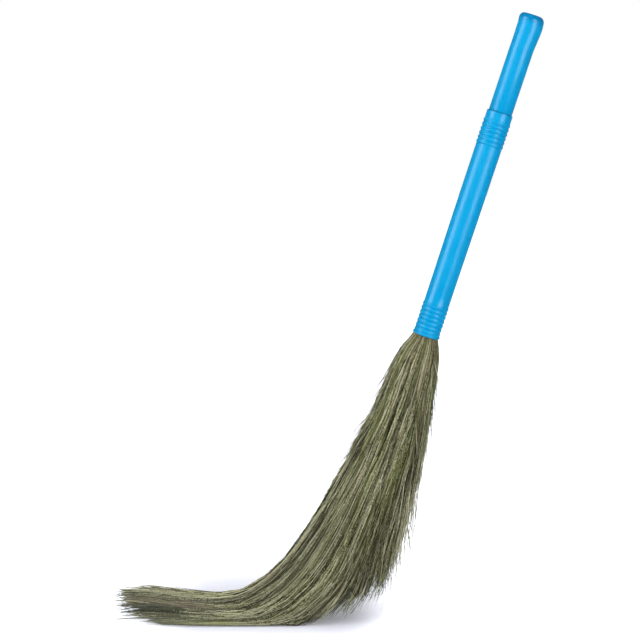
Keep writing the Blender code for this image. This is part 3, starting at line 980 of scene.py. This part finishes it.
grass = makeDryGrass()
flowGuide, flowFirst, flowLast = makeFlowGuide()
strandField, strandMarks = makeStrandField(flowFirst, flowLast)
hankTree = makeHankTree(strandField)
hankPieces = [growHank(hank, hankTree, flowGuide, strandMarks) for hank in range(hanks["sectors"] + 1)]
bpy.data.objects.remove(flowGuide)
for piece in hankPieces:
    print("grown", piece.name, len(piece.data.polygons), "faces")


# Ties, wires and wedge: hidden, so they keep their CAD meshes and only have looks of their own

tieThread = {
    "colour": (0.62, 0.56, 0.42), "dark": (0.40, 0.34, 0.22), "roughness": 0.85,
    "twist": (500, 500, 2600), "lit": (0.3, 0.7, 0, 1), "bump": (0.6, 0.0003),
}
bindingWire = {
    "colour": (0.42, 0.42, 0.43), "rust": (0.20, 0.13, 0.08), "roughness": 0.38, "metal": 1,
    "spots": 260, "rusty": (0.52, 0.7, 0, 0.8), "rough": (0.4, 0.7, 0.3, 0.6),
}
wedgeWood = {
    "colour": (0.50, 0.33, 0.17), "roughness": 0.7, "grain": (900, 900, 60), "bump": (0.4, 0.0003),
    "tones": [(0.3, (0.30, 0.17, 0.07)), (0.7, (0.56, 0.38, 0.20))],
}


def makeTieThread():
    looks = tieThread
    material, tree, shader = newMaterial("tieThread", looks)
    strand = noise(combine("MULTIPLY", alongHandle(tree), looks["twist"]), 1, 2)
    colour = tinted(mapped(strand, *looks["lit"]), looks["dark"], looks["colour"])
    tree.links.new(colour, shader.inputs["Base Color"])
    bumped(shader, strand, *looks["bump"])
    return material


def makeBindingWire():
    looks = bindingWire
    material, tree, shader = newMaterial("bindingWire", looks)
    spots = noise(alongHandle(tree), looks["spots"], 3)
    colour = tinted(mapped(spots, *looks["rusty"]), looks["colour"], looks["rust"])
    tree.links.new(colour, shader.inputs["Base Color"])
    tree.links.new(mapped(spots, *looks["rough"]), shader.inputs["Roughness"])
    return material


def makeWedgeWood():
    looks = wedgeWood
    material, tree, shader = newMaterial("wedgeWood", looks)
    grain = noise(combine("MULTIPLY", alongHandle(tree), looks["grain"]), 1, 4)
    tree.links.new(ramp(grain, looks["tones"]), shader.inputs["Base Color"])
    bumped(shader, grain, *looks["bump"])
    return material


hiddenLooks = {"tie": makeTieThread(), "binding_wire": makeBindingWire(), "wedge": makeWedgeWood()}
for name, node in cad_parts.items():
    for start, look in hiddenLooks.items():
        if name.startswith(start):
            node.data.materials.clear()
            node.data.materials.append(look)
print("hidden pieces have their looks")


# Floor, light and camera

studio = {
    "worldStrength": 0.29,
    "floorReach": 8,
    "floorColour": (0.865, 0.875, 0.99),
    "glowColour": (0.93, 0.95, 1, 1),
    # light that the floor adds to what the camera sees of it, by how far it is from the broom
    "floorGlow": (0.05, 0.32, 0.145, 1.0, eased),
    "lies": (-0.17, 0.012),  # where the tail lies along the floor, in X
    "endScale": 2.8,  # how much sooner the glow comes past the tail's two ends
    "frontScale": 2.1,
    "backScale": 0.82,  # and how much later behind it
}

camera = {
    "place": (-0.0071, -2.354, 0.783),
    "down": 8.5,  # degrees below level
    "sensor": 36,
    "photoWidth": 640,  # pixels
    "photoFocus": 1700,  # focal length in those pixels
}

lamps = {
    # place, aim, size, watts, and whether it shows in reflections alone, as the others never do
    "leftPanel": ((-1.35, -1.75, 1.3), (0.1, 0, 0.45), (0.7, 1.4), 16, False),
    "rightPanel": ((1.3, -1.9, 1.1), (0.15, 0, 0.5), (0.7, 1.4), 15, False),
    "topPanel": ((-0.3, -0.6, 2.4), (0, 0, 0.2), (1.2, 1.0), 13.5, False),
    "backPanel": ((0.9, 2.1, 1.5), (0, 0, 0.4), (1.4, 1.2), 11, False),
    "leftGlint": ((-1.8, -0.8, 1.2), (0.1, 0, 0.5), (1.35, 1.8), 235, True),
    "rightGlint": ((1.28, -1.67, 0.80), (0.15, 0, 0.6), (1.2, 1.5), 205, True),
}


def seenDirectly(tree):
    path = put(tree, "ShaderNodeLightPath")
    return calc("MAXIMUM", path.outputs["Is Camera Ray"], path.outputs["Is Transmission Ray"])


def makeFloor():
    mesh = bpy.data.meshes.new("floor")
    size = studio["floorReach"]
    corners = [(-size, -size, 0), (size, -size, 0), (size, size, 0), (-size, size, 0)]
    mesh.from_pydata(corners, [], [(0, 1, 2, 3)])
    material = bpy.data.materials.new("floorWhite")
    material.use_nodes = True
    tree = material.node_tree
    tree.nodes.clear()
    spot = put(tree, "ShaderNodeTexCoord").outputs["Object"]
    x, y, _ = unpacked(spot)
    low, high = studio["lies"]
    nearest = made("ShaderNodeClamp", {"Value": x, "Min": low, "Max": high})
    away = combine("SUBTRACT", spot, packed(nearest, 0, 0))
    behind = calc("GREATER_THAN", y, 0)
    depthScale = blended(behind, studio["frontScale"], studio["backScale"])
    away = lengthOf(combine("MULTIPLY", away, packed(studio["endScale"], depthScale, 1)))
    strength = times(seenDirectly(tree), mapped(away, *studio["floorGlow"]))
    plain = result(put(tree, "ShaderNodeBsdfDiffuse", {"Color": (*studio["floorColour"], 1)}))
    glow = made("ShaderNodeEmission", {"Color": studio["glowColour"], "Strength": strength})
    mixed = made("ShaderNodeAddShader", {0: plain, 1: glow})
    tree.links.new(mixed, tree.nodes.new("ShaderNodeOutputMaterial").inputs["Surface"])
    addPiece("floor", mesh, material)


def makeWorld():
    world = bpy.data.worlds.new("studio")
    bpy.context.scene.world = world
    world.use_nodes = True
    tree = world.node_tree
    tree.nodes.clear()
    strength = blended(seenDirectly(tree), studio["worldStrength"], 1.0)
    sky = made("ShaderNodeBackground", {"Color": (1, 1, 1, 1), "Strength": strength})
    tree.links.new(sky, tree.nodes.new("ShaderNodeOutputWorld").inputs["Surface"])


def addLamp(name, place, aim, size, power, glint):
    lamp = bpy.data.lights.new(name, "AREA")
    lamp.shape = "RECTANGLE"
    lamp.size, lamp.size_y = size
    lamp.energy = power
    holder = addPiece(name, lamp)
    holder.location = place
    holder.rotation_euler = (Vector(aim) - Vector(place)).to_track_quat("-Z", "Y").to_euler()
    holder.visible_diffuse = not glint
    holder.visible_glossy = glint


def makeCamera():
    data = bpy.data.cameras.new("camera")
    data.sensor_width = camera["sensor"]
    data.lens = camera["sensor"] * camera["photoFocus"] / camera["photoWidth"]
    holder = addPiece("camera", data)
    holder.location = camera["place"]
    holder.rotation_euler = (math.radians(90 - camera["down"]), 0, 0)
    bpy.context.scene.camera = holder


makeFloor()
makeWorld()
for name, values in lamps.items():
    addLamp(name, *values)
makeCamera()
bpy.context.scene.view_settings.view_transform = "Standard"
print("floor, lamps and camera are in place")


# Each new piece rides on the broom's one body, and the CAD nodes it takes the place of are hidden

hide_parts("grip_tube")
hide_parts("sleeve")
for hank, piece in enumerate(hankPieces):
    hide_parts(f"hank_{hank}" if hank else "hank_core")
for piece in [gripPiece, sleevePiece, *hankPieces]:
    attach(piece, "root")
